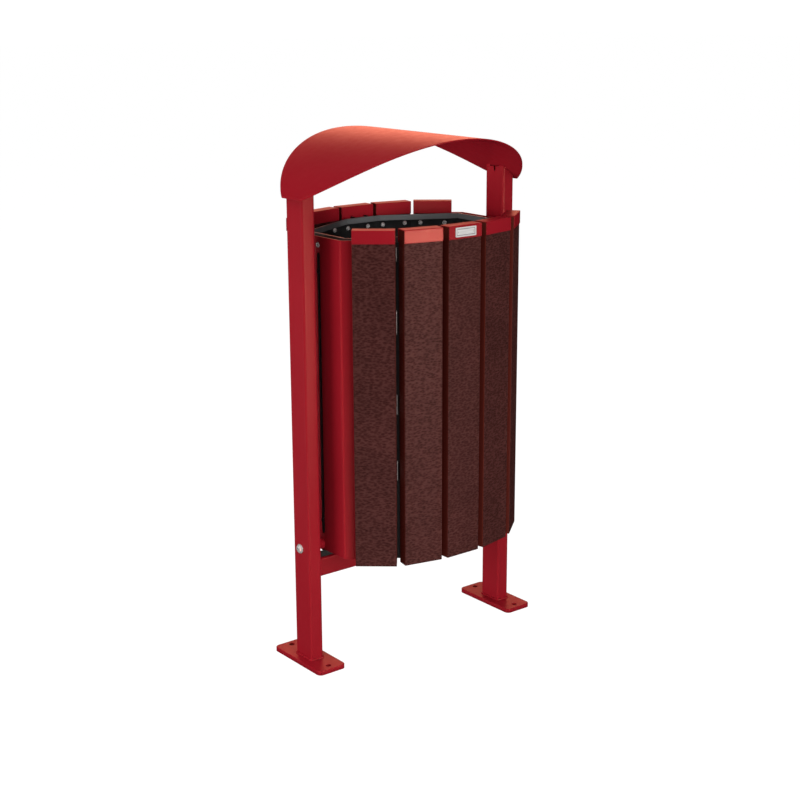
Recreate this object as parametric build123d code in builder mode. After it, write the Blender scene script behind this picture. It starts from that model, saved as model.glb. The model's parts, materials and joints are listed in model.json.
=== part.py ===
"""Hooded street litter bin: a slatted basket hung between two posts, tilted forward to empty it.

Frame: millimetres, +Z up, origin on the ground midway between the posts.
X runs from the left post to the right post, and the front of the bin faces -Y.
"""

import os
from math import asin, cos, radians, sin, sqrt

from build123d import *

os.makedirs("parts", exist_ok=True)

# ---- driving dimensions -------------------------------------------------------------

# stand
POST_GAP = 520.0  # clear width between the posts
POST_X, POST_Y = 32.0, 60.0  # tube section
TUBE_WALL = 2.5
TUBE_CORNER = 5.0
PLATE_X, PLATE_Y, PLATE_T = 72.0, 178.0, 10.0
PLATE_CORNER = 11.0
ANCHOR_SPACING = 144.0
ANCHOR_R = 6.5
NOTCH_W, NOTCH_BOTTOM = 5.0, 1050.0  # T-shaped opening in the post's inner wall, under the hood
NOTCH_HEAD_W, NOTCH_HEAD_BOTTOM = 30.0, 1060.5
BAR_Y, BAR_Z = 30.0, 44.0  # crossbar section, rear face flush with the posts
BAR_TOP = 232.0
BUFFER_T, BUFFER_H = 5.0, 13.5  # rubber strip standing on the crossbar
BUFFER_END = 2.0  # short of each post
BUFFER_SET = 5.0  # behind the crossbar's front face, clear of the tilted basket

# hood: a flat blank with curved ends, rolled to one radius
HOOD_R = 439.0
HOOD_TOP = 1152.0
HOOD_T = 2.5
HOOD_HALF_DEPTH = 205.5  # half the blank's width at its middle
HOOD_EDGE_R = 400.0  # radius of the blank's long edges
HOOD_TIP_X = 298.0
HOOD_TIP_CORNER = 12.0
TAB_T, TAB_BOTTOM = 4.0, 1010.0  # plate under the hood inside each post
TAB_CLEAR = 8.0

# basket
CORE_Y = 203.0  # outer face of the middle slats
SLAT_W, SLAT_T = 89.0, 28.0
SLAT_GAPS = (14.5, 19.0)
SLAT_TURNS = (12.5, 39.5)
SLAT_BOTTOM, SLAT_TOP = 246.0, 973.5
SLAT_EDGE_R = 2.0
CAP_T, CAP_H = 1.5, 28.0
CAP_EDGE_R = 1.2
BADGE_W, BADGE_H, BADGE_T = 56.0, 20.0, 1.5
BADGE_FRAME = 3.0
SHEET_T = 2.0
BEND_R = 6.0
WEB_X = 233.5  # outer face of the side channels
CHANNEL_BOTTOM, CHANNEL_TOP = 252.0, 950.0
FLANGE_LAP = 30.0  # how far a channel flange reaches behind the slat beside it
CHANNEL_SLOT_W = 14.0
CHANNEL_SLOT_Z = (289.0, 916.0)
SHELL_BOTTOM, SHELL_TOP = 254.0, 936.0
SEAM = 2.0  # between the two halves of the shell
STRAP_W, STRAP_BOTTOM, STRAP_TOP = 40.0, 300.0, 946.0
VENT_W, VENT_H = 9.0, 45.0
VENT_Z = (454.0, 600.0, 778.0)
VENT_U = (-41.5, 0.0, 41.5)  # across the fold behind a slat, from its middle
FLOOR_Z, FLOOR_T, FLOOR_RIM = 290.0, 3.0, 20.0
FLOOR_GAP = 0.5
DRAIN_R, DRAIN_X, DRAIN_Y = 6.0, 70.0, 60.0
SCREW_U = 28.0  # half the spacing of the two screws across a slat
SCREW_R, SCREW_HEAD_R, SCREW_HEAD_H = 3.0, 5.2, 3.3
SCREW_DEPTH = 18.0
SCREW_CLEAR = 0.2
SCREW_Z = (306.0, 926.0)
STRAP_SCREW_Z = (320.0, 874.0)

# moving parts
PIVOT_Y, PIVOT_Z = 5.0, 265.0
PIVOT_R = 6.0
PIVOT_CLEAR = 0.2  # radial, in the post and the spacer, which do not turn
PIVOT_HEAD_R, PIVOT_HEAD_H = 10.5, 6.5
PIVOT_THREAD = 18.0  # beyond the boss
WASHER_R, WASHER_T = 12.0, 2.5
NUT_R, NUT_T = 9.5, 10.0
SPACER_R = 12.0
BOSS_R, BOSS_T = 18.0, 6.0
RUNNING = 0.06  # radial clearance of a pin that turns or slides in its hole
LATCH_Z = 932.0
LATCH_R = 6.0
LATCH_PROUD = 1.0
LATCH_LENGTH = 46.0
DRIVE_R, DRIVE_L = 4.5, 6.0  # triangular drive on the inner end
SOCKET_R, SOCKET_L = 3.2, 2.0  # triangular recess in the outer end
BUSH_R, BUSH_T = 10.0, 4.0
RING_INSET = 17.0  # from the shell's inner face to the ring
RING_BAR_T, RING_BAR_H = 4.0, 12.0
RING_BOTTOM = 939.0
RING_CORNER = 3.0
HINGE_Y, HINGE_Z = 166.0, 945.0
HINGE_PIN_R = 2.5
KNUCKLE_R, KNUCKLE_W = 5.0, 34.0
LUG_T, LUG_H, LUG_Y = 3.0, 17.0, 161.8
LUG_STRIP_T, LUG_STRIP_H = 2.0, 20.0
GAP = 0.3  # between bodies that move past each other

POST_INNER = POST_GAP / 2
POST_MID = POST_INNER + POST_X / 2
HOOD_AXIS_Z = HOOD_TOP - HOOD_R
SHELL_OUT = SLAT_T + SHEET_T  # depth of the shell's outer face behind the end slats


# ---- plan geometry of the basket ----------------------------------------------------


def slat_stations():
    """Middle of each front slat's outer face in plan and its turn, from left to right."""
    x, y, turned = SLAT_W / 2, -CORE_Y, 0.0
    right = []
    for gap, turn in zip(SLAT_GAPS, SLAT_TURNS):
        middle = radians((turned + turn) / 2)
        x, y = x + gap * cos(middle), y + gap * sin(middle)
        a = radians(turn)
        right.append((x + SLAT_W / 2 * cos(a), y + SLAT_W / 2 * sin(a), turn))
        x, y, turned = x + SLAT_W * cos(a), y + SLAT_W * sin(a), turn
    left = [(-sx, sy, -turn) for sx, sy, turn in reversed(right)]
    return left + [(0.0, -CORE_Y, 0.0)] + right


STATIONS = slat_stations()


def face_line(station, depth):
    """A point and a direction of the line parallel to a slat, at a depth behind its outer face."""
    x, y, turn = station
    a = radians(turn)
    return (x - depth * sin(a), y + depth * cos(a)), (cos(a), sin(a))


def meet(line_a, line_b):
    """Where two plan lines cross."""
    (ax, ay), (au, av) = line_a
    (bx, by), (bu, bv) = line_b
    t = ((bx - ax) * bv - (by - ay) * bu) / (au * bv - av * bu)
    return (ax + t * au, ay + t * av)


def front_outline(depth, side_x, end_depth):
    """Corner points of the front half of the basket's plan, from the left side to the right."""
    lines = [face_line(s, end_depth if abs(s[2]) == SLAT_TURNS[1] else depth) for s in STATIONS]
    left = ((-side_x, 0.0), (0.0, 1.0))
    right = ((side_x, 0.0), (0.0, 1.0))
    chain = [left, *lines, right]
    return [meet(a, b) for a, b in zip(chain, chain[1:])]


def slat_plane(station, rear=False):
    """Plan plane on a slat's outer face: local X along its width, local Y into the basket."""
    x, y, turn = station
    a = radians(turn)
    s = -1 if rear else 1
    return Plane(origin=(s * x, s * y, 0), x_dir=(s * cos(a), s * sin(a), 0), z_dir=(0, 0, 1))


def side_plane(side, x, y=0.0, z=0.0):
    """Vertical plane across X whose normal points outwards on that side."""
    return Plane(origin=(side * x, y, z), x_dir=(0, side, 0), z_dir=(side, 0, 0))


SIDES = {"left": -1, "right": 1}
HALVES = {"front": False, "rear": True}


def save(part, name):
    part.label = name
    export_step(part, f"parts/{name}.step")


# ---- stand --------------------------------------------------------------------------


def make_post(side):
    with BuildPart() as post:
        with BuildSketch(Plane.XY.offset(PLATE_T)):
            with Locations((side * POST_MID, 0)):
                RectangleRounded(POST_X, POST_Y, TUBE_CORNER)
                RectangleRounded(
                    POST_X - 2 * TUBE_WALL,
                    POST_Y - 2 * TUBE_WALL,
                    TUBE_CORNER - TUBE_WALL,
                    mode=Mode.SUBTRACT,
                )
        extrude(amount=HOOD_TOP)
        # the top follows the underside of the hood
        with BuildSketch(Plane.XZ):
            with Locations((0, HOOD_AXIS_Z)):
                Circle(HOOD_R - HOOD_T)
            with Locations((side * POST_MID, HOOD_AXIS_Z / 2)):
                Rectangle(2 * POST_X, HOOD_AXIS_Z)
        extrude(amount=POST_Y, both=True, mode=Mode.INTERSECT)
        # pivot bolt hole through both walls
        with BuildSketch(side_plane(side, POST_INNER - 1, PIVOT_Y, PIVOT_Z)):
            Circle(PIVOT_R + PIVOT_CLEAR)
        extrude(amount=POST_X + 2, mode=Mode.SUBTRACT)
        # latch hole and T-shaped opening in the inner wall
        with BuildSketch(side_plane(side, POST_INNER - 1)):
            with Locations((0, LATCH_Z)):
                Circle(LATCH_R + 1)
            with Locations((0, HOOD_TOP)):
                Rectangle(NOTCH_W, 2 * (HOOD_TOP - NOTCH_BOTTOM))
                Rectangle(NOTCH_HEAD_W, 2 * (HOOD_TOP - NOTCH_HEAD_BOTTOM))
        extrude(amount=TUBE_WALL + 1, mode=Mode.SUBTRACT)
    return post.part


def make_base_plate(side):
    with BuildPart() as plate:
        with BuildSketch():
            with Locations((side * POST_MID, 0)):
                RectangleRounded(PLATE_X, PLATE_Y, PLATE_CORNER)
        extrude(amount=PLATE_T)
        chamfer(plate.faces().sort_by(Axis.Z)[-1].outer_wire().edges(), 1)
        with Locations((side * POST_MID, 0, PLATE_T)):
            with GridLocations(0, ANCHOR_SPACING, 1, 2):
                Hole(ANCHOR_R)
    return plate.part


def make_crossbar():
    with BuildPart() as bar:
        with BuildSketch(Plane.YZ.offset(-POST_INNER)):
            with Locations((POST_Y / 2 - BAR_Y / 2, BAR_TOP - BAR_Z / 2)):
                RectangleRounded(BAR_Y, BAR_Z, TUBE_CORNER)
                RectangleRounded(
                    BAR_Y - 2 * TUBE_WALL,
                    BAR_Z - 2 * TUBE_WALL,
                    TUBE_CORNER - TUBE_WALL,
                    mode=Mode.SUBTRACT,
                )
        extrude(amount=POST_GAP)
    return bar.part


def make_buffer():
    with BuildPart() as buffer:
        with BuildSketch(Plane.YZ.offset(-POST_INNER + BUFFER_END)):
            middle_y = POST_Y / 2 - BAR_Y + BUFFER_SET + BUFFER_T / 2
            with Locations((middle_y, BAR_TOP + BUFFER_H / 2)):
                Rectangle(BUFFER_T, BUFFER_H)
        extrude(amount=POST_GAP - 2 * BUFFER_END)
        fillet(buffer.faces().sort_by(Axis.Z)[-1].edges().filter_by(Axis.X), 1.5)
    return buffer.part


def hood_half_depth(s):
    """Half the hood's depth at a distance s along the rolled blank from its middle."""
    return HOOD_HALF_DEPTH - HOOD_EDGE_R + sqrt(HOOD_EDGE_R**2 - s**2)


def make_hood():
    steps = 6
    s_tip = HOOD_R * asin(HOOD_TIP_X / HOOD_R)
    along = [s_tip * i / steps for i in range(-steps, steps + 1)]
    edge = [(HOOD_R * sin(s / HOOD_R), hood_half_depth(s)) for s in along]
    with BuildPart() as hood:
        with BuildSketch(Plane.XZ):
            with Locations((0, HOOD_AXIS_Z)):
                Circle(HOOD_R)
                Circle(HOOD_R - HOOD_T, mode=Mode.SUBTRACT)
            with Locations((0, HOOD_AXIS_Z - HOOD_R)):
                Rectangle(2 * HOOD_R, 2 * HOOD_R, mode=Mode.SUBTRACT)
        extrude(amount=HOOD_HALF_DEPTH, both=True)
        with BuildSketch(Plane.XY.offset(HOOD_AXIS_Z)) as blank:
            with BuildLine():
                Spline(*edge)
                Line(edge[-1], (edge[-1][0], -edge[-1][1]))
                Spline(*[(x, -y) for x, y in reversed(edge)])
                Line((edge[0][0], -edge[0][1]), edge[0])
            make_face()
            fillet(blank.vertices(), HOOD_TIP_CORNER)
        extrude(amount=HOOD_TOP, mode=Mode.INTERSECT)
    return hood.part


def make_hood_tab(side):
    """Plate hanging from the hood inside the post's top."""
    width = POST_X - 2 * (TUBE_WALL + TAB_CLEAR)
    with BuildPart() as tab:
        with BuildSketch(Plane.XZ):
            with Locations((0, HOOD_AXIS_Z)):
                Circle(HOOD_R - HOOD_T)
            with Locations((side * POST_MID, (TAB_BOTTOM + HOOD_TOP) / 2)):
                Rectangle(width, HOOD_TOP - TAB_BOTTOM, mode=Mode.INTERSECT)
        extrude(amount=TAB_T / 2, both=True)
    return tab.part


def make_pivot_bolt(side):
    """Button-head bolt along X, its head on the post's outer face and its nut inside the basket."""
    head_x = POST_INNER + POST_X
    tip_x = WEB_X - SHEET_T - BOSS_T - PIVOT_THREAD
    with BuildPart() as bolt:
        with BuildSketch(Plane.XZ.offset(-PIVOT_Y)):
            with BuildLine():
                Polyline(
                    (tip_x, PIVOT_Z),
                    (tip_x, PIVOT_Z + PIVOT_R - 1),
                    (tip_x + 1, PIVOT_Z + PIVOT_R),
                    (head_x, PIVOT_Z + PIVOT_R),
                    (head_x, PIVOT_Z + PIVOT_HEAD_R),
                    (head_x + 1.5, PIVOT_Z + PIVOT_HEAD_R),
                )
                ThreePointArc(
                    (head_x + 1.5, PIVOT_Z + PIVOT_HEAD_R),
                    (head_x + 5, PIVOT_Z + PIVOT_HEAD_R * 0.68),
                    (head_x + PIVOT_HEAD_H, PIVOT_Z + PIVOT_R / 2),
                )
                Line((head_x + PIVOT_HEAD_H, PIVOT_Z + PIVOT_R / 2), (head_x + PIVOT_HEAD_H, PIVOT_Z))
                Line((head_x + PIVOT_HEAD_H, PIVOT_Z), (tip_x, PIVOT_Z))
            make_face()
        revolve(axis=Axis((0, PIVOT_Y, PIVOT_Z), (1, 0, 0)))
        # hexagon socket in the head
        with BuildSketch(side_plane(1, head_x + PIVOT_HEAD_H, PIVOT_Y, PIVOT_Z)):
            RegularPolygon(3.6, 6)
        extrude(amount=-4, mode=Mode.SUBTRACT)
        if side < 0:
            mirror(about=Plane.YZ, mode=Mode.REPLACE)
    return bolt.part


def make_spacer(side):
    with BuildPart() as spacer:
        with BuildSketch(side_plane(side, WEB_X + GAP, PIVOT_Y, PIVOT_Z)):
            Circle(SPACER_R)
            Circle(PIVOT_R + PIVOT_CLEAR, mode=Mode.SUBTRACT)
        extrude(amount=POST_INNER - WEB_X - GAP)
    return spacer.part


def make_pivot_nuts():
    """Washer and nut on each pivot bolt, just clear of the boss that turns beside them."""
    face_x = WEB_X - SHEET_T - BOSS_T - GAP
    with BuildPart() as nuts:
        for side in SIDES.values():
            with BuildSketch(side_plane(side, face_x, PIVOT_Y, PIVOT_Z)):
                Circle(WASHER_R)
                Circle(PIVOT_R, mode=Mode.SUBTRACT)
            extrude(amount=-WASHER_T)
            with BuildSketch(side_plane(side, face_x - WASHER_T, PIVOT_Y, PIVOT_Z)):
                RegularPolygon(NUT_R, 6, major_radius=False)
                Circle(PIVOT_R, mode=Mode.SUBTRACT)
            extrude(amount=-NUT_T)
    return nuts.part


# ---- basket -------------------------------------------------------------------------


def make_slat(station, rear):
    with BuildPart() as slat:
        with BuildSketch(slat_plane(station, rear).offset(SLAT_BOTTOM)):
            with Locations((0, SLAT_T / 2)):
                RectangleRounded(SLAT_W, SLAT_T, SLAT_EDGE_R)
        extrude(amount=SLAT_TOP - SLAT_BOTTOM)
        # pilot holes for the screws, from the inner face
        plane = slat_plane(station, rear)
        for z in SCREW_Z:
            for u in (-SCREW_U, SCREW_U):
                hole_plane = Plane(
                    origin=plane.from_local_coords((u, SLAT_T, z)),
                    x_dir=plane.x_dir,
                    z_dir=-plane.y_dir,
                )
                with BuildSketch(hole_plane):
                    Circle(SCREW_R)
                extrude(amount=SCREW_DEPTH, mode=Mode.SUBTRACT)
    return slat.part


def make_cap(station, rear):
    """Folded sheet over a slat's top."""
    top = SLAT_TOP + CAP_T
    outer = SLAT_T + 2 * CAP_T
    plane = slat_plane(station, rear)
    section = Plane(
        origin=plane.from_local_coords((-SLAT_W / 2, 0, 0)),
        x_dir=plane.y_dir,
        z_dir=plane.x_dir,
    )
    rise = 1 if section.y_dir.Z > 0 else -1
    with BuildPart() as cap:
        with BuildSketch(section):
            with Locations((SLAT_T / 2, rise * (top - CAP_H / 2))):
                Rectangle(outer, CAP_H)
            with Locations((SLAT_T / 2, rise * (SLAT_TOP - CAP_H / 2))):
                Rectangle(SLAT_T, CAP_H, mode=Mode.SUBTRACT)
        extrude(amount=SLAT_W)
        long_edges = cap.faces().sort_by(Axis.Z)[-1].edges().sort_by(SortBy.LENGTH)[-2:]
        fillet(long_edges, CAP_EDGE_R)
    return cap.part


def make_badge():
    """Blank plate on the cap of the middle front slat."""
    with BuildPart() as badge:
        with BuildSketch(Plane.XZ.offset(CORE_Y + CAP_T)):
            with Locations((0, SLAT_TOP + CAP_T - CAP_H / 2)):
                RectangleRounded(BADGE_W, BADGE_H, 2)
        extrude(amount=BADGE_T)
        with BuildSketch(Plane.XZ.offset(CORE_Y + CAP_T + BADGE_T)):
            with Locations((0, SLAT_TOP + CAP_T - CAP_H / 2)):
                RectangleRounded(BADGE_W - 2 * BADGE_FRAME, BADGE_H - 2 * BADGE_FRAME, 1)
        extrude(amount=-BADGE_T / 3, mode=Mode.SUBTRACT)
    return badge.part


def channel_points(side):
    """Outer corners of a side channel: front flange end, two bends, rear flange end."""
    bend = front_outline(SLAT_T, WEB_X, SLAT_T)[-1]
    x, y, turn = STATIONS[-1]
    a = radians(turn)
    reach = SLAT_W / 2 - FLANGE_LAP
    end = (x - SLAT_T * sin(a) + reach * cos(a), y + SLAT_T * cos(a) + reach * sin(a))
    right = [end, bend, (bend[0], -bend[1]), (end[0], -end[1])]
    return right if side > 0 else [(-px, -py) for px, py in right]


def make_channel(side):
    """Side sheet bent round between the front and rear slats, slotted down its middle."""
    with BuildPart() as channel:
        with BuildSketch(Plane.XY.offset(CHANNEL_BOTTOM)):
            with BuildLine() as line:
                FilletPolyline(*channel_points(side), radius=BEND_R)
                offset(amount=SHEET_T, side=Side.LEFT)
            make_face()
        extrude(amount=CHANNEL_TOP - CHANNEL_BOTTOM)
        low, high = CHANNEL_SLOT_Z
        with BuildSketch(side_plane(side, WEB_X + 1)):
            with Locations((0, (low + high) / 2)):
                SlotOverall(high - low, CHANNEL_SLOT_W, rotation=90)
            with Locations((side * PIVOT_Y, PIVOT_Z)):
                Circle(PIVOT_R + RUNNING)
            with Locations((0, LATCH_Z)):
                Circle(LATCH_R + RUNNING)
        extrude(amount=-SHEET_T - 2, mode=Mode.SUBTRACT)
        # behind the slats: screw holes, and room above for the caps' inner folds
        station = STATIONS[-1] if side > 0 else STATIONS[0]
        opposite = STATIONS[0] if side > 0 else STATIONS[-1]
        for plane in (slat_plane(station), slat_plane(opposite, rear=True)):
            fold = plane.offset(SLAT_TOP + CAP_T - CAP_H - GAP)
            with BuildSketch(fold):
                with Locations((0, SLAT_T)):
                    Rectangle(SLAT_W, 4 * SHEET_T)
            extrude(amount=CAP_H, mode=Mode.SUBTRACT)
            for z in SCREW_Z:
                for u in (-SCREW_U, SCREW_U):
                    origin = plane.from_local_coords((u, SLAT_T - 1, z))
                    with BuildSketch(Plane(origin=origin, x_dir=plane.x_dir, z_dir=plane.y_dir)):
                        Circle(SCREW_R + SCREW_CLEAR)
                    extrude(amount=SHEET_T + 2, mode=Mode.SUBTRACT)
    return channel.part


def make_pivot_boss(side):
    with BuildPart() as boss:
        with BuildSketch(side_plane(side, WEB_X - SHEET_T, PIVOT_Y, PIVOT_Z)):
            Circle(BOSS_R)
            Circle(PIVOT_R + RUNNING, mode=Mode.SUBTRACT)
        extrude(amount=-BOSS_T)
    return boss.part


def slat_face_planes(rear):
    """For each slat of a half, the plane on the shell behind it, normal out of the basket."""
    for station in STATIONS:
        depth = SHELL_OUT if abs(station[2]) == SLAT_TURNS[1] else SLAT_T
        plane = slat_plane(station, rear)
        yield Plane(
            origin=plane.from_local_coords((0, depth, 0)),
            x_dir=plane.x_dir,
            z_dir=-plane.y_dir,
        )


def shell_points():
    side_x = WEB_X - SHEET_T
    corners = front_outline(SLAT_T, side_x, SHELL_OUT)
    return [(-side_x, -SEAM / 2), *corners, (side_x, -SEAM / 2)]


def make_shell(rear):
    """Half of the inner shell: one folded sheet with rows of upright vents."""
    pivot_y = -PIVOT_Y if rear else PIVOT_Y  # before the rear half is mirrored
    with BuildPart() as shell:
        with BuildSketch(Plane.XY.offset(SHELL_BOTTOM)):
            with BuildLine():
                FilletPolyline(*shell_points(), radius=BEND_R - SHEET_T)
                offset(amount=SHEET_T, side=Side.LEFT)
            make_face()
        extrude(amount=SHELL_TOP - SHELL_BOTTOM)
        for plane in slat_face_planes(False):
            rise = 1 if plane.y_dir.Z > 0 else -1
            with BuildSketch(plane.offset(1)):
                for z in VENT_Z:
                    with Locations(*[(u, rise * z) for u in VENT_U]):
                        SlotOverall(VENT_H, VENT_W, rotation=90)
                for z in SCREW_Z:
                    with Locations((-SCREW_U, rise * z), (SCREW_U, rise * z)):
                        Circle(SCREW_R + SCREW_CLEAR)
            extrude(amount=-SHEET_T - 2, mode=Mode.SUBTRACT)
        for side in SIDES.values():
            with BuildSketch(side_plane(side, WEB_X)):
                with Locations((side * pivot_y, PIVOT_Z)):
                    Circle(BOSS_R + 1)
                with Locations((0, LATCH_Z)):
                    Circle(LATCH_R + 0.5)
                with Locations((0, LATCH_Z + BUSH_R)):
                    Rectangle(2 * LATCH_R + 1, 2 * BUSH_R)
                for z in STRAP_SCREW_Z:
                    with Locations((0, z)):
                        Circle(SCREW_R + SCREW_CLEAR)
            extrude(amount=-3 * SHEET_T, mode=Mode.SUBTRACT)
        if rear:
            mirror(about=Plane.XZ, mode=Mode.REPLACE)
    return shell.part


def make_strap(side):
    """Flat strap over the joint between the two halves of the shell."""
    with BuildPart() as strap:
        with BuildSketch(side_plane(side, WEB_X - 2 * SHEET_T)):
            with Locations((0, (STRAP_BOTTOM + STRAP_TOP) / 2)):
                Rectangle(STRAP_W, STRAP_TOP - STRAP_BOTTOM)
            with Locations((0, LATCH_Z)):
                Circle(LATCH_R + RUNNING, mode=Mode.SUBTRACT)
            for z in STRAP_SCREW_Z:
                with Locations((0, z)):
                    Circle(SCREW_R, mode=Mode.SUBTRACT)
        extrude(amount=-SHEET_T)
    return strap.part


def button_screw(length):
    """Button-head screw, its head standing on the XY plane and its shank below it."""
    with BuildPart() as screw:
        Cylinder(SCREW_R, length, align=(Align.CENTER, Align.CENTER, Align.MAX))
        with BuildSketch():
            Circle(SCREW_HEAD_R)
        extrude(amount=SCREW_HEAD_H, taper=24)
        fillet(screw.faces().sort_by(Axis.Z)[-1].edges(), 0.8)
        with BuildSketch(Plane.XY.offset(SCREW_HEAD_H)):
            RegularPolygon(2.3, 6)
        extrude(amount=-2, mode=Mode.SUBTRACT)
    return screw.part


def make_slat_screws(rear):
    """The screws of one half, through the shell into its slats."""
    places = []
    for plane in slat_face_planes(rear):
        for z in SCREW_Z:
            for u in (-SCREW_U, SCREW_U):
                origin = plane.origin + plane.x_dir * u - plane.z_dir * SHEET_T + Vector(0, 0, z)
                places.append(Plane(origin=origin, x_dir=plane.x_dir, z_dir=-plane.z_dir))
    with BuildPart() as screws:
        with Locations(*places):
            add(button_screw(SCREW_DEPTH))
    return screws.part


def make_strap_screws():
    """The screws that close the straps, their heads seen through the channel slots."""
    places = [
        side_plane(side, WEB_X - SHEET_T, z=z) for side in SIDES.values() for z in STRAP_SCREW_Z
    ]
    with BuildPart() as screws:
        with Locations(*places):
            add(button_screw(2 * SHEET_T + 3))
    return screws.part


def inner_outline(inset):
    """Corners of the plan inside the shell, front half then rear half, moved in by an inset."""
    side_x = WEB_X - 2 * SHEET_T - inset
    front = front_outline(SLAT_T + SHEET_T + inset, side_x, SHELL_OUT + SHEET_T + inset)
    return front + [(-x, -y) for x, y in front]


def make_floor():
    """Pan that closes the basket's bottom, rim turned down, with drain holes."""
    with BuildPart() as floor:
        with BuildSketch(Plane.XY.offset(FLOOR_Z - FLOOR_RIM)):
            with BuildLine():
                Polyline(*inner_outline(FLOOR_GAP), close=True)
            make_face()
        extrude(amount=FLOOR_RIM)
        with BuildSketch(Plane.XY.offset(FLOOR_Z - FLOOR_RIM)):
            with BuildLine():
                Polyline(*inner_outline(FLOOR_GAP + SHEET_T), close=True)
            make_face()
        extrude(amount=FLOOR_RIM - FLOOR_T, mode=Mode.SUBTRACT)
        # room for the pivot nuts under the pan
        for side in SIDES.values():
            with BuildSketch(side_plane(side, WEB_X, PIVOT_Y, PIVOT_Z)):
                Rectangle(2 * BOSS_R + 4, 2 * BOSS_R + 4)
            extrude(amount=-12, mode=Mode.SUBTRACT)
        with Locations((0, 0, FLOOR_Z)):
            with GridLocations(DRAIN_X, DRAIN_Y, 5, 4):
                Hole(DRAIN_R)
    return floor.part


# ---- latch and bag ring -------------------------------------------------------------


def make_latch_pin(side):
    """Round bolt that slides out of the basket into the post."""
    with BuildPart() as pin:
        with BuildSketch(side_plane(side, WEB_X + LATCH_PROUD, z=LATCH_Z)):
            Circle(LATCH_R)
        extrude(amount=-LATCH_LENGTH)
        chamfer(pin.faces().sort_by(Axis.X)[-1 if side > 0 else 0].edges(), 1.2)
        with BuildSketch(side_plane(side, WEB_X + LATCH_PROUD, z=LATCH_Z)):
            RegularPolygon(SOCKET_R, 3)
        extrude(amount=-SOCKET_L, mode=Mode.SUBTRACT)
        with BuildSketch(side_plane(side, WEB_X + LATCH_PROUD - LATCH_LENGTH, z=LATCH_Z)):
            RegularPolygon(DRIVE_R, 3)
        extrude(amount=-DRIVE_L)
    return pin.part


def make_latch_bush(side):
    with BuildPart() as bush:
        with BuildSketch(side_plane(side, WEB_X - 3 * SHEET_T, z=LATCH_Z)):
            Circle(BUSH_R)
            Circle(LATCH_R + RUNNING, mode=Mode.SUBTRACT)
        extrude(amount=-BUSH_T)
    return bush.part


def ring_outline():
    """The bag ring's eight corners: the shell's plan with one chord across each end."""
    corners = inner_outline(RING_INSET)
    half = len(corners) // 2
    return [p for i, p in enumerate(corners) if i % half not in (1, half - 2)]


def make_bag_ring():
    """Flat-bar ring that clamps the bag's rim, with a knuckle at the rear to hinge on."""
    with BuildPart() as ring:
        with BuildSketch(Plane.XY.offset(RING_BOTTOM)):
            with BuildLine():
                Polyline(*ring_outline(), close=True)
            make_face()
            offset(amount=-RING_BAR_T, kind=Kind.INTERSECTION, mode=Mode.SUBTRACT)
        extrude(amount=RING_BAR_H)
        fillet(ring.edges().filter_by(Axis.Z), RING_CORNER)
        rear_y = CORE_Y - SLAT_T - SHEET_T - RING_INSET
        with BuildSketch(Plane.XY.offset(HINGE_Z - KNUCKLE_R + 1)):
            with Locations((0, (rear_y + HINGE_Y) / 2 - 1)):
                Rectangle(KNUCKLE_W, HINGE_Y - rear_y + 2)
        extrude(amount=2 * KNUCKLE_R - 2)
        with BuildSketch(side_plane(1, -KNUCKLE_W / 2, HINGE_Y, HINGE_Z)):
            Circle(KNUCKLE_R)
        extrude(amount=KNUCKLE_W)
        with BuildSketch(side_plane(1, -KNUCKLE_W / 2, HINGE_Y, HINGE_Z)):
            Circle(HINGE_PIN_R + RUNNING)
        extrude(amount=KNUCKLE_W, mode=Mode.SUBTRACT)
    return ring.part


def make_ring_lugs():
    """Two lugs on the rear of the shell that hold the hinge pin."""
    wall_y = CORE_Y - SLAT_T - SHEET_T
    with BuildPart() as lugs:
        for side in SIDES.values():
            with BuildSketch(side_plane(side, KNUCKLE_W / 2 + GAP)):
                with Locations((side * (LUG_Y + wall_y) / 2, HINGE_Z - 1)):
                    Rectangle(wall_y - LUG_Y, LUG_H)
                with Locations((side * HINGE_Y, HINGE_Z)):
                    Circle(HINGE_PIN_R, mode=Mode.SUBTRACT)
            extrude(amount=LUG_T)
        with BuildSketch(Plane.XZ.offset(-wall_y)):
            with Locations((0, HINGE_Z - 6 - LUG_STRIP_H / 2)):
                Rectangle(KNUCKLE_W + 2 * LUG_T + 2 * GAP, LUG_STRIP_H)
        extrude(amount=LUG_STRIP_T)
    return lugs.part


def make_hinge_pin():
    with BuildPart() as pin:
        with BuildSketch(side_plane(1, -KNUCKLE_W / 2 - LUG_T - 2, HINGE_Y, HINGE_Z)):
            Circle(HINGE_PIN_R)
        extrude(amount=KNUCKLE_W + 2 * LUG_T + 4)
    return pin.part


# ---- build --------------------------------------------------------------------------

for side_name, side in SIDES.items():
    save(make_post(side), f"{side_name}_post")
    save(make_base_plate(side), f"{side_name}_base_plate")
    save(make_hood_tab(side), f"{side_name}_hood_tab")
    save(make_pivot_bolt(side), f"{side_name}_pivot_bolt")
    save(make_spacer(side), f"{side_name}_pivot_spacer")
    save(make_channel(side), f"{side_name}_side_channel")
    save(make_pivot_boss(side), f"{side_name}_pivot_boss")
    save(make_strap(side), f"{side_name}_seam_strap")
    save(make_latch_pin(side), f"{side_name}_latch_pin")
    save(make_latch_bush(side), f"{side_name}_latch_bush")

save(make_crossbar(), "crossbar")
save(make_buffer(), "rubber_buffer")
save(make_hood(), "hood")
save(make_pivot_nuts(), "pivot_nuts")
save(make_strap_screws(), "strap_screws")
save(make_floor(), "basket_floor")
save(make_badge(), "badge_plate")
save(make_bag_ring(), "bag_ring")
save(make_ring_lugs(), "ring_lugs")
save(make_hinge_pin(), "ring_hinge_pin")

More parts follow.
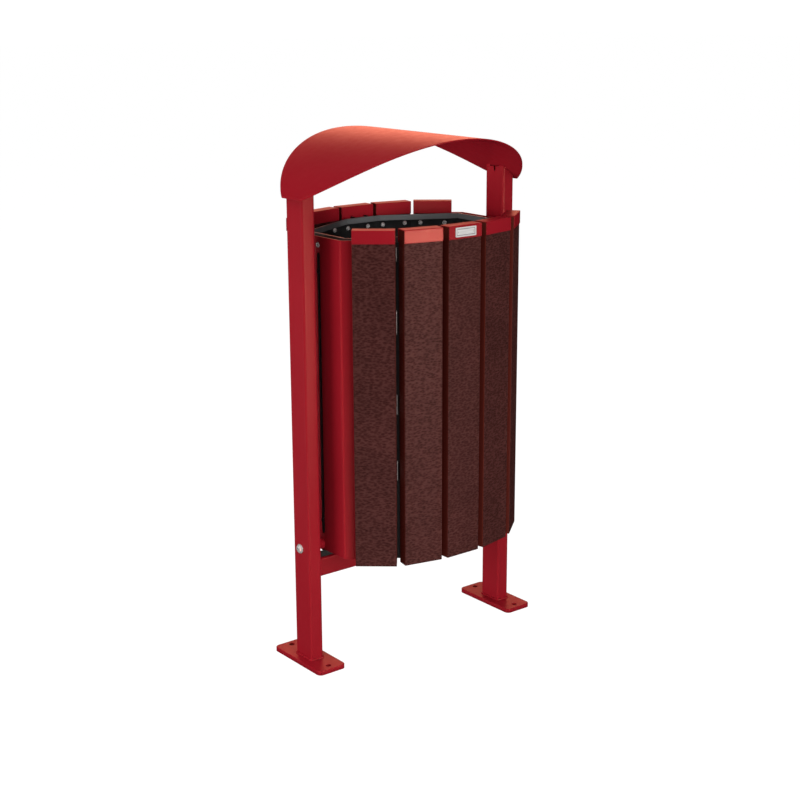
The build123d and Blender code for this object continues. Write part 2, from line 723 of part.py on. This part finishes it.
for half, rear in HALVES.items():
    save(make_shell(rear), f"{half}_shell")
    save(make_slat_screws(rear), f"{half}_slat_screws")
    for number, station in enumerate(STATIONS, 1):
        save(make_slat(station, rear), f"{half}_slat_{number}")
        save(make_cap(station, rear), f"{half}_cap_{number}")
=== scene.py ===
"""Hooded street litter bin: finishes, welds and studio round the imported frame.

Metres, +Z up. The front of the bin faces -Y, and the posts stand at -X (left) and +X (right).
"""

import json
import math
import random

import bpy
from mathutils import Matrix, Vector


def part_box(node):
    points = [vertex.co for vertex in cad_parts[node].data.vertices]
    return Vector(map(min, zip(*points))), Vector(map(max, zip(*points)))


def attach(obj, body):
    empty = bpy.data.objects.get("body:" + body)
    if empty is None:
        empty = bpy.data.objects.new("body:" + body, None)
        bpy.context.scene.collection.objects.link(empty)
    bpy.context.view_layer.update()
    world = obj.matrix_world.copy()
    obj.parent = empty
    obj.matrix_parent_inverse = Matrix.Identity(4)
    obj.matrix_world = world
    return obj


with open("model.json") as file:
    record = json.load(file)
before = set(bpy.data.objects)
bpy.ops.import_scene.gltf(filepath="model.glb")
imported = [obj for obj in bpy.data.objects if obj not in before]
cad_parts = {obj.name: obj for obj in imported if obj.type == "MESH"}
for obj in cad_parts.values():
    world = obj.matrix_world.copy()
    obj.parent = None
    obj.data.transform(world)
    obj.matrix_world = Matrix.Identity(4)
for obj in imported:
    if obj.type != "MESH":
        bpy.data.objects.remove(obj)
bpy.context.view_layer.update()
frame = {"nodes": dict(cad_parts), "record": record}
MM = 0.001

# ---- camera and light ---------------------------------------------------------------

CAMERA_AZIMUTH = math.radians(-38.07)
CAMERA_ELEVATION = math.radians(15.15)
CAMERA_ROLL = math.radians(-0.275)
CAMERA_DISTANCE = 3.0314
CAMERA_TARGET = Vector((-0.2298, -0.2730, 0.6508))
CAMERA_LENS = 67.8
WORLD_STRENGTH = 1.15
WHITE = (1.0, 1.0, 1.0)
WARM = (1.0, 0.31, 0.19)  # for the paint's long highlights
ROSE = (1.0, 0.86, 0.78)
MIDDLE = Vector((0, 0, 0.7))
LAMP_DISTANCE = 3.5
FLOOR_HALF = 40
# name, azimuth and elevation in degrees from the front, size, diffuse light on a facing surface
SOFT_LAMPS = (
    ("key_camera", -13, -3, 2.2, 0.66),
    ("key_left", -119, -4, 2.6, 1.75),
    ("key_front", 3, 10, 2.2, 0.60),
    ("hood_key", -80, 58, 1.8, 0.60),
    ("rear_fill", 150, 25, 2.4, 0.40),
    ("right_fill", 75, 25, 2.0, 0.30),
    ("top_fill", 0, 88, 2.8, 0.62),
)
# light thrown back from the paving and from inside the basket: name, place, aim, side, radiance
FILLS = (
    ("floor_fill", (0, 0, 0.004), (0, 0, 1), 4.5, 0.45),
    ("mouth_fill", (-0.02, -0.02, 0.985), (0.25, 0.12, 1.06), 0.2, 3.6),
    ("bar_fill", (-0.50, -0.80, 0.12), (-0.24, 0.0, 0.21), 0.4, 7.0),
)
# name, azimuth, elevation, distance, width, height, radiance, colour
CARDS = (
    ("cap_card", 12, -6.5, 1.9, 0.40, 0.8, 28.0, ROSE),
    ("hood_card", 142, 17.5, 3.3, 3.4, 1.0, 3.0, WARM),
    ("corner_card", -70, -16, 2.4, 0.20, 2.2, 12.0, (1.0, 0.38, 0.28)),
    ("left_card", -95, 25, 3.0, 1.6, 1.2, 1.0, WHITE),
    ("top_card", -38, 75, 3.0, 2.0, 2.0, 0.8, WHITE),
)


def make_camera():
    back = Vector(
        (
            math.sin(CAMERA_AZIMUTH) * math.cos(CAMERA_ELEVATION),
            -math.cos(CAMERA_AZIMUTH) * math.cos(CAMERA_ELEVATION),
            math.sin(CAMERA_ELEVATION),
        )
    )
    camera = bpy.data.objects.new("camera", bpy.data.cameras.new("camera"))
    camera.data.lens = CAMERA_LENS
    camera.location = CAMERA_TARGET + back * CAMERA_DISTANCE
    camera.rotation_mode = "QUATERNION"
    turn = Matrix.Rotation(CAMERA_ROLL, 4, "Z").to_quaternion()
    camera.rotation_quaternion = (-back).to_track_quat("-Z", "Y") @ turn
    bpy.context.scene.collection.objects.link(camera)
    bpy.context.scene.camera = camera


def bearing(azimuth, elevation, distance):
    """A place round the bin's middle; azimuth 0 is straight in front, negative to the left."""
    a, e = math.radians(azimuth), math.radians(elevation)
    away = Vector((math.sin(a) * math.cos(e), -math.cos(a) * math.cos(e), math.sin(e)))
    return MIDDLE + distance * away


def area_light(name, place, aim, width, height, radiance, sees, color=WHITE):
    """Soft rectangular lamp, out of shot; sees is "diffuse" or "glossy"."""
    light = bpy.data.lights.new(name, "AREA")
    light.shape = "RECTANGLE"
    light.size = width
    light.size_y = height
    light.energy = radiance * math.pi * width * height
    light.color = color
    lamp = bpy.data.objects.new(name, light)
    lamp.location = place
    lamp.rotation_mode = "QUATERNION"
    lamp.rotation_quaternion = (Vector(aim) - Vector(place)).to_track_quat("-Z", "Y")
    lamp.visible_camera = False
    lamp.visible_diffuse = sees == "diffuse"
    lamp.visible_glossy = sees == "glossy"
    bpy.context.scene.collection.objects.link(lamp)


def make_backdrop():
    """White only to the camera: soft lamps light the bin, and cards give its reflections."""
    world = bpy.data.worlds.new("studio")
    world.use_nodes = True
    background = world.node_tree.nodes["Background"]
    background.inputs["Color"].default_value = (1, 1, 1, 1)
    background.inputs["Strength"].default_value = WORLD_STRENGTH
    world.cycles_visibility.diffuse = False
    world.cycles_visibility.glossy = False
    bpy.context.scene.world = world


def make_lights():
    for name, azimuth, elevation, size, share in SOFT_LAMPS:
        place = bearing(azimuth, elevation, LAMP_DISTANCE)
        radiance = share * math.pi * LAMP_DISTANCE**2 / size**2
        area_light(name, place, MIDDLE, size, size, radiance, "diffuse")
    for name, place, aim, side, radiance in FILLS:
        area_light(name, place, aim, side, side, radiance, "diffuse")
    for name, azimuth, elevation, distance, width, height, radiance, color in CARDS:
        place = bearing(azimuth, elevation, distance)
        area_light(name, place, MIDDLE, width, height, radiance, "glossy", color)


def make_floor():
    mesh = bpy.data.meshes.new("floor")
    half = FLOOR_HALF
    corners = [(-half, -half, 0), (half, -half, 0), (half, half, 0), (-half, half, 0)]
    mesh.from_pydata(corners, [], [(0, 1, 2, 3)])
    floor = bpy.data.objects.new("floor", mesh)
    floor.visible_glossy = False
    floor.visible_diffuse = False
    bpy.context.scene.collection.objects.link(floor)
    material = bpy.data.materials.new("floor_white")
    material.use_nodes = True
    shader = material.node_tree.nodes["Principled BSDF"]
    shader.inputs["Base Color"].default_value = (0.05, 0.05, 0.05, 1)
    shader.inputs["Roughness"].default_value = 0.9
    shader.inputs["Specular IOR Level"].default_value = 0.0
    shader.inputs["Emission Color"].default_value = (1, 1, 1, 1)
    shader.inputs["Emission Strength"].default_value = 1.0
    mesh.materials.append(material)


# ---- materials ----------------------------------------------------------------------


class Surface:
    """A Principled material and short ways to add nodes to it."""

    def __init__(self, name, roughness, **constants):
        self.material = bpy.data.materials.new(name)
        self.material.use_nodes = True
        self.tree = self.material.node_tree
        self.shader = self.tree.nodes["Principled BSDF"]
        self.shader.inputs["Roughness"].default_value = roughness
        for socket, value in constants.items():
            self.shader.inputs[socket.replace("_", " ")].default_value = value
        self.place = self.add("ShaderNodeTexCoord").outputs["Object"]

    def add(self, kind, **settings):
        node = self.tree.nodes.new(kind)
        for key, value in settings.items():
            if key in node.inputs:
                node.inputs[key].default_value = value
            else:
                setattr(node, key, value)
        return node

    def link(self, source, target):
        self.tree.links.new(source, target)

    def stretched(self, scale):
        mapping = self.add("ShaderNodeMapping", Scale=scale)
        self.link(self.place, mapping.inputs["Vector"])
        return mapping.outputs["Vector"]

    def noise(self, scale, detail=3, roughness=0.5, vector=None, distortion=0.0):
        node = self.add(
            "ShaderNodeTexNoise", Scale=scale, Detail=detail, Roughness=roughness, Distortion=distortion
        )
        self.link(vector or self.place, node.inputs["Vector"])
        return node.outputs["Fac"]

    def voronoi(self, scale, vector):
        node = self.add("ShaderNodeTexVoronoi", Scale=scale)
        self.link(vector, node.inputs["Vector"])
        return node.outputs["Distance"]

    def ramp(self, factor, *stops):
        """Value or colour stops: (position, value or colour)."""
        node = self.add("ShaderNodeValToRGB")
        elements = node.color_ramp.elements
        for position, value in stops[2:]:
            elements.new(position)
        for element, (position, value) in zip(elements, stops):
            element.position = position
            element.color = (*value, 1) if isinstance(value, tuple) else (value, value, value, 1)
        self.link(factor, node.inputs["Fac"])
        return node.outputs["Color"]

    def math(self, operation, a, b):
        node = self.add("ShaderNodeMath", operation=operation)
        for socket, value in zip(node.inputs, (a, b)):
            if isinstance(value, (int, float)):
                socket.default_value = value
            else:
                self.link(value, socket)
        return node.outputs["Value"]

    def mix(self, factor, a, b, blend="MIX"):
        node = self.add("ShaderNodeMix", data_type="RGBA", blend_type=blend)
        for index, value in ((0, factor), (6, a), (7, b)):
            if isinstance(value, tuple):
                node.inputs[index].default_value = (*value, 1)
            elif isinstance(value, (int, float)):
                node.inputs[index].default_value = value
            else:
                self.link(value, node.inputs[index])
        return node.outputs[2]

    def to(self, socket, source):
        self.link(source, self.shader.inputs[socket])

    def edge_normal(self, radius):
        """Normal eased over sharp edges, as if they were rounded."""
        node = self.add("ShaderNodeBevel", samples=4, Radius=radius)
        return node.outputs["Normal"]

    def edge_mask(self, radius):
        """0 on flat faces, rising over edges within the radius."""
        eased = self.edge_normal(radius)
        flat = self.add("ShaderNodeNewGeometry").outputs["Normal"]
        dot = self.add("ShaderNodeVectorMath", operation="DOT_PRODUCT")
        self.link(eased, dot.inputs[0])
        self.link(flat, dot.inputs[1])
        return self.math("SUBTRACT", 1.0, dot.outputs["Value"])

    def bump(self, height, distance, strength=1.0, normal=None):
        node = self.add("ShaderNodeBump", Strength=strength, Distance=distance)
        self.link(height, node.inputs["Height"])
        if normal is not None:
            self.link(normal, node.inputs["Normal"])
        self.to("Normal", node.outputs["Normal"])


def red_paint(name="red_powder_coat", edge=0.9, ior=1.38, gloss=None):
    """Polyester powder coat: fine orange peel, satin gloss, faint tone drift.

    edge is in mm; gloss gives two stops of specular level against the normal's Z, which is painted shade:
    it takes the reflection off faces turned one way.
    """
    s = Surface(name, 0.32, IOR=ior)
    s.shader.inputs["Specular Tint"].default_value = (1.0, 0.45, 0.32, 1)
    drift = s.noise(5.0, detail=2)
    base = s.ramp(drift, (0.3, (0.190, 0.0050, 0.0102)), (0.7, (0.212, 0.0060, 0.0118)))
    fleck = s.ramp(s.noise(1400, detail=1), (0.35, 0.92), (0.65, 1.0))
    base = s.mix(1.0, base, fleck, "MULTIPLY")
    worn = s.ramp(s.edge_mask(0.9 * MM), (0.05, 0.0), (0.45, 0.35))
    s.to("Base Color", s.mix(worn, base, (0.24, 0.022, 0.02)))
    s.to("Roughness", s.ramp(s.noise(60, detail=4), (0.3, 0.29), (0.7, 0.36)))
    peel = s.noise(420, detail=2, roughness=0.4)
    s.bump(peel, 0.12 * MM, 0.35, s.edge_normal(edge * MM))
    # specular level by facing is painted shade, taking the reflection off the caps' tops under the hood and
    # off the hood's underside
    if gloss:
        normal = s.add("ShaderNodeSeparateXYZ")
        s.link(s.add("ShaderNodeTexCoord").outputs["Normal"], normal.inputs["Vector"])
        s.to("Specular IOR Level", s.ramp(normal.outputs["Z"], *gloss))
    return s.material


def slat_board():
    """Recycled plastic board: leather-like grain on the broad faces, smoother darker edges."""
    s = Surface("slat_board", 0.55, IOR=1.17)
    s.shader.inputs["Specular Tint"].default_value = (1.0, 0.6, 0.52, 1)
    fine = s.noise(330, detail=5, roughness=0.62, vector=s.stretched((0.42, 0.42, 1.1)), distortion=0.8)
    cells = s.voronoi(250, vector=s.stretched((0.5, 0.5, 1.1)))
    grain = s.mix(0.45, fine, cells)
    dark, mid, light = (0.0112, 0.0026, 0.0024), (0.0255, 0.0066, 0.0058), (0.048, 0.0150, 0.0134)
    tone = s.ramp(grain, (0.18, dark), (0.42, mid), (0.62, light))
    blotch = s.ramp(s.noise(14, detail=3), (0.3, 0.88), (0.7, 1.1))
    face = s.mix(1.0, tone, blotch, "MULTIPLY")
    # the broad faces look away from the bin's axis, the sawn edges along the ring of slats
    flat = s.add("ShaderNodeVectorMath", operation="MULTIPLY")
    s.link(s.place, flat.inputs[0])
    flat.inputs[1].default_value = (1, 1, 0)
    outward = s.add("ShaderNodeVectorMath", operation="NORMALIZE")
    s.link(flat.outputs["Vector"], outward.inputs[0])
    facing = s.add("ShaderNodeVectorMath", operation="DOT_PRODUCT")
    s.link(outward.outputs["Vector"], facing.inputs[0])
    s.link(s.add("ShaderNodeTexCoord").outputs["Normal"], facing.inputs[1])
    broad = s.ramp(s.math("ABSOLUTE", facing.outputs["Value"], 0), (0.55, 0.0), (0.85, 1.0))
    s.to("Base Color", s.mix(broad, (0.062, 0.0090, 0.0060), face))
    s.to("Roughness", s.ramp(grain, (0.2, 0.62), (0.6, 0.46)))
    s.bump(s.math("MULTIPLY", grain, broad), 0.9 * MM, 0.75, s.edge_normal(1.2 * MM))
    return s.material


def black_steel():
    """Black powder coat inside the basket."""
    s = Surface("black_powder_coat", 0.42)
    dark, dusty = (0.0045, 0.0045, 0.0048), (0.010, 0.0105, 0.0105)
    dust = s.ramp(s.noise(9, detail=5, roughness=0.65), (0.35, dark), (0.75, dusty))
    worn = s.ramp(s.edge_mask(0.8 * MM), (0.05, 0.0), (0.5, 0.6))
    s.to("Base Color", s.mix(worn, dust, (0.03, 0.03, 0.03)))
    s.to("Roughness", s.ramp(s.noise(40, detail=4), (0.3, 0.36), (0.7, 0.5)))
    s.bump(s.noise(380, detail=2), 0.12 * MM, 0.4, s.edge_normal(0.8 * MM))
    return s.material


def grey_steel():
    """Bag ring's powder coat in a dark grey that is painted light: lighter than the black coat, for the
    light its upright band catches above the shaded shell.
    """
    s = Surface("ring_coat_painted_light", 0.38)
    # the grey base is painted light: the ring's band shown lit against the shaded black shell
    base = s.ramp(s.noise(12, detail=4), (0.35, (0.050, 0.052, 0.053)), (0.7, (0.066, 0.068, 0.069)))
    worn = s.ramp(s.edge_mask(0.8 * MM), (0.05, 0.0), (0.5, 0.6))
    s.to("Base Color", s.mix(worn, base, (0.19, 0.19, 0.195)))
    s.to("Roughness", s.ramp(s.noise(60, detail=4), (0.3, 0.33), (0.7, 0.45)))
    s.bump(s.noise(420, detail=2), 0.12 * MM, 0.4, s.edge_normal(0.8 * MM))
    return s.material


def stainless():
    """Turned stainless steel: fine rings, bright edges."""
    s = Surface("stainless_steel", 0.24, Metallic=0.55)
    tone = s.ramp(s.noise(260, detail=3), (0.3, (0.50, 0.48, 0.465)), (0.7, (0.68, 0.655, 0.64)))
    s.to("Base Color", tone)
    s.to("Roughness", s.ramp(s.noise(900, detail=2), (0.3, 0.18), (0.7, 0.34)))
    s.bump(s.noise(1600, detail=1), 0.03 * MM, 0.4, s.edge_normal(0.5 * MM))
    return s.material


def bare_edge():
    """Cut edges of the vents: bare sheet, in a pale pinkish grey that is painted light, for the light seen
    through the vents past the end slats.
    """
    s = Surface("vent_edge_painted_light", 0.5)
    s.to("Base Color", s.ramp(s.noise(400, detail=3), (0.3, (0.72, 0.62, 0.60)), (0.7, (0.86, 0.77, 0.75))))
    s.bump(s.noise(900, detail=2), 0.05 * MM, 0.4)
    return s.material


def rubber():
    """Matt black rubber strip, a little dusty."""
    s = Surface("black_rubber", 0.75)
    black, dusty = (0.008, 0.008, 0.008), (0.020, 0.019, 0.018)
    s.to("Base Color", s.ramp(s.noise(30, detail=5), (0.3, black), (0.75, dusty)))
    s.bump(s.noise(700, detail=3), 0.2 * MM, 0.5)
    return s.material


def badge_metal():
    """Blank white-coated plate: brushed field, thin dark line just inside its raised frame."""
    s = Surface("badge_plate_metal", 0.3, Metallic=0.15)
    low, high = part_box("badge_plate")
    middle = (low + high) / 2
    split = s.add("ShaderNodeSeparateXYZ")
    s.link(s.place, split.inputs["Vector"])
    over_x = s.math("ABSOLUTE", s.math("SUBTRACT", split.outputs["X"], middle.x), 0)
    over_z = s.math("ABSOLUTE", s.math("SUBTRACT", split.outputs["Z"], middle.z), 0)
    reach_x = s.math("SUBTRACT", over_x, (high.x - low.x) / 2)
    reach_z = s.math("SUBTRACT", over_z, (high.z - low.z) / 2)
    inset = s.math("MAXIMUM", reach_x, reach_z)
    # inset is negative inside the plate; 1 on the ramp is 10 mm in from its edge
    depth = s.math("MULTIPLY", inset, -100.0)
    line = s.ramp(depth, (0.30, 0.0), (0.34, 1.0), (0.40, 1.0), (0.44, 0.0))
    brushed = s.noise(500, detail=2, vector=s.stretched((0.05, 1, 1)))
    white = s.ramp(brushed, (0.3, (0.40, 0.39, 0.385)), (0.7, (0.52, 0.51, 0.50)))
    s.to("Base Color", s.mix(line, white, (0.035, 0.03, 0.03)))
    s.bump(brushed, 0.03 * MM, 0.3, s.edge_normal(0.4 * MM))
    return s.material


FINISHES = {
    "red_paint": red_paint,
    "slat_board": slat_board,
    "black_steel": black_steel,
    "grey_steel": grey_steel,
    "stainless_steel": stainless,
    "black_rubber": rubber,
    "badge_metal": badge_metal,
}


def finish_nodes():
    """Gives every CAD node its slot's finish; caps, posts and hood differ in gloss and edges, and the caps'
    and hood's gloss by facing is painted shade.
    """
    materials = {name: make() for name, make in FINISHES.items()}
    # the vents' pale edge finish is painted light, for the light seen through the vents
    materials["bare_edge"] = bare_edge()
    # the caps' tops lose their reflection: painted shade from the hood above them
    cap_paint = red_paint("red_powder_coat_caps", edge=2.6, gloss=((0.3, 0.5), (0.8, 0.06)))
    stand_paint = red_paint("red_powder_coat_stand", ior=1.3)
    # the hood's underside and ends lose their reflection: painted shade
    hood_paint = red_paint("red_powder_coat_hood", ior=1.9, gloss=((0.1, 0.05), (0.4, 0.5)))
    for part in frame["record"]["subparts"]:
        finish = materials[part["material_slot"]]
        if "_cap_" in part["node"]:
            finish = cap_paint
        elif part["node"] == "hood":
            finish = hood_paint
        elif part["node"] in ("left_post", "right_post"):
            finish = stand_paint
        for slot in frame["nodes"][part["node"]].material_slots:
            slot.link = "OBJECT"
            slot.material = finish
    return materials


# ---- welds, rivets and vent edges ---------------------------------------------------

HOOD_OUTER_R = 439 * MM
HOOD_INNER_R = 436.5 * MM
WELD_R = 2.4 * MM
HOOD_WELD_R = 2.0 * MM
WELD_STEP = 1.1 * MM
WELD_SIDES = 10
DOME_SIDES = 20
# a rivet head's outline: radius and height as shares of the whole
DOME_PROFILE = ((1.0, 0.0), (1.0, 0.25), (0.93, 0.5), (0.75, 0.78), (0.45, 0.95), (0.12, 1.0))
RIVET_INSET = 7.5 * MM
RIVET_R = 2.1 * MM
RIVET_H = 0.95 * MM

# middle height and length of each vent lip
VENT_LIPS = ((0.454, 0.045), (0.600, 0.045), (0.778, 0.053), (0.921, 0.030))
# the fold between an end slat and its neighbour in plan, and the end slat's turn
LIP_FOLD = (0.1429, 0.1521)
LIP_TURN = math.radians(39.5)
# cross-section in mm: along the shell, and out from it
LIP_PROFILE = ((0.0, 0.9), (0.7, 0.0), (2.0, -0.3), (3.3, 0.2), (3.5, 1.1), (1.8, 0.5))
LIP_MIDDLE, LIP_SET = 1.75, 0.9
LIP_STEPS = 9


def rounded_path(width, height, radius):
    """Points round a rounded rectangle centred on the origin."""
    steps = 6
    points = []
    for quarter, (sx, sy) in enumerate(((1, 1), (-1, 1), (-1, -1), (1, -1))):
        for i in range(steps + 1):
            a = math.radians(90 * (quarter + i / steps))
            x = sx * (width / 2 - radius) + radius * math.cos(a)
            y = sy * (height / 2 - radius) + radius * math.sin(a)
            points.append((x, y))
    return points


def even_steps(points, step):
    """The polyline's points spaced evenly."""
    lengths = [(b - a).length for a, b in zip(points, points[1:])]
    count = max(2, round(sum(lengths) / step))
    spaced, leg, done = [], 0, 0.0
    for i in range(count + 1):
        want = sum(lengths) * i / count
        while leg < len(lengths) - 1 and done + lengths[leg] < want:
            done += lengths[leg]
            leg += 1
        spaced.append(points[leg].lerp(points[leg + 1], min(1, (want - done) / lengths[leg])))
    return spaced


def skin(count, sides, closed_start=True):
    """Faces over rings of vertices; count is the number of vertices, and sides that of one ring."""
    faces = []
    for start in range(0, count - sides, sides):
        for k in range(sides):
            a, b = start + k, start + (k + 1) % sides
            faces.append((a, b, b + sides, a + sides))
    if closed_start:
        faces.append(tuple(range(sides)))
        faces.append(tuple(reversed(range(count - sides, count))))
    else:
        faces.append(tuple(range(count - sides, count)))
    return faces


def add_piece(name, vertices, faces, slot_name, body, finish=None):
    mesh = bpy.data.meshes.new(name)
    mesh.from_pydata([tuple(v) for v in vertices], [], faces)
    mesh.validate()
    mesh.shade_smooth()
    mesh.materials.append(finish or materials[slot_name])
    piece = bpy.data.objects.new(name, mesh)
    bpy.context.scene.collection.objects.link(piece)
    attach(piece, body)


def weld_bead(name, points, body, seed, radius=WELD_R):
    """Rippled fillet weld along a line, painted over; its middle lies in the joint."""
    spot = random.Random(seed)
    path = even_steps([Vector(p) for p in points], WELD_STEP)
    last = len(path) - 1
    vertices = []
    for i, point in enumerate(path):
        along = (path[min(i + 1, last)] - path[max(i - 1, 0)]).normalized()
        upright = abs(along.z) > 0.95
        across = (along.orthogonal() if upright else along.cross((0, 0, 1))).normalized()
        up = across.cross(along)
        ripple = 1 + 0.14 * math.sin(i * 1.9) + spot.uniform(-0.06, 0.06)
        size = radius * ripple * (0.55 if i in (0, last) else 1)
        for k in range(WELD_SIDES):
            a = 2 * math.pi * k / WELD_SIDES
            vertices.append(point + (across * math.cos(a) + up * math.sin(a)) * size)
    add_piece(name, vertices, skin(len(vertices), WELD_SIDES), "red_paint", body)


def sorted_round(points, y, z):
    """Points in order round the tube, starting and ending at its rear."""
    return sorted(points, key=lambda p: math.atan2(p[2] - z, y - p[1]))


def add_welds():
    bar_low, bar_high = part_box("crossbar")
    bar_y, bar_z = (bar_high.y + bar_low.y) / 2, (bar_high.z + bar_low.z) / 2
    bar = rounded_path(bar_high.y - bar_low.y, bar_high.z - bar_low.z, 5 * MM)
    hood_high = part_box("hood")[1]
    axis_z = hood_high.z - HOOD_OUTER_R
    for seed, side in enumerate(("left", "right")):
        low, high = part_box(f"{side}_post")
        middle = (low + high) / 2
        foot = rounded_path(high.x - low.x + 1.5 * MM, high.y - low.y + 1.5 * MM, 5.7 * MM)
        loop = [(middle.x + x, middle.y + y, low.z + 0.8 * MM) for x, y in foot]
        weld_bead(f"{side}_foot_weld", loop + loop[:2], "stand", seed)
        # the bar's rear face is flush with the post, so its weld is ground off
        inner_x = high.x if side == "left" else low.x
        front = [(inner_x, bar_y + x, bar_z + z) for x, z in bar if x < bar_high.y - bar_y - 2 * MM]
        weld_bead(f"{side}_bar_weld", sorted_round(front, bar_y, bar_z), "stand", seed + 2)
        # outside only: the inner face is left open round the notch for the hood's tab
        outer_x = low.x if side == "left" else high.x
        z = axis_z + math.sqrt(HOOD_INNER_R**2 - outer_x**2) - 0.6 * MM
        ends = [(outer_x, low.y + 4 * MM, z), (outer_x, high.y - 4 * MM, z)]
        weld_bead(f"{side}_hood_weld", ends, "stand", seed + 4, HOOD_WELD_R)


def dome(name, center, normal, radius, height, slot_name, body):
    """Low rivet head with a shoulder."""
    normal = Vector(normal).normalized()
    across = normal.orthogonal().normalized()
    up = normal.cross(across)
    vertices = []
    for r, h in DOME_PROFILE:
        for k in range(DOME_SIDES):
            a = 2 * math.pi * k / DOME_SIDES
            ring = (across * math.cos(a) + up * math.sin(a)) * (r * radius)
            vertices.append(Vector(center) + ring + normal * (h * height))
    faces = skin(len(vertices), DOME_SIDES, closed_start=False)
    add_piece(name, vertices, faces, slot_name, body)


def add_badge_rivets():
    low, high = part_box("badge_plate")
    z = (low.z + high.z) / 2
    for name, x in (
        ("badge_rivet_left", low.x + RIVET_INSET),
        ("badge_rivet_right", high.x - RIVET_INSET),
    ):
        center = (x, low.y + 1.0 * MM, z)
        dome(name, center, (0, -1, 0), RIVET_R, RIVET_H, "stainless_steel", "basket")


def vent_lip(name, side, half, middle_z, height):
    """Folded bare edge of one vent, whose pale finish is painted light; side and half are signs in X and Y.
    """
    along = Vector((side * math.cos(LIP_TURN), half * math.sin(LIP_TURN), 0))
    inward = Vector((-side * math.sin(LIP_TURN), -half * math.cos(LIP_TURN), 0))
    corner = Vector((side * LIP_FOLD[0], half * LIP_FOLD[1], 0))
    vertices = []
    for i in range(LIP_STEPS + 1):
        t = 2 * i / LIP_STEPS - 1
        taper = math.sqrt(max(0.05, 1 - max(0.0, abs(t) - 0.86) ** 2 / 0.0225))
        for u, w in LIP_PROFILE:
            across = (u - LIP_MIDDLE) * taper * MM
            place = corner - along * across - inward * (LIP_SET - w) * MM
            vertices.append(place + Vector((0, 0, middle_z + t * height / 2)))
    faces = skin(len(vertices), len(LIP_PROFILE))
    add_piece(name, vertices, faces, "black_steel", "basket", materials["bare_edge"])


def add_vent_lips():
    """The vents beside the end slats, whose edges are seen through the gaps; their pale finish is painted
    light.
    """
    for side, side_name in ((-1, "left"), (1, "right")):
        for half, half_name in ((-1, "front"), (1, "rear")):
            for row, (middle_z, height) in enumerate(VENT_LIPS, start=1):
                vent_lip(f"vent_lip_{side_name}_{half_name}_{row}", side, half, middle_z, height)


make_camera()
bpy.context.scene.view_settings.view_transform = "Standard"
make_backdrop()
make_lights()
make_floor()
materials = finish_nodes()
add_welds()
add_badge_rivets()
add_vent_lips()
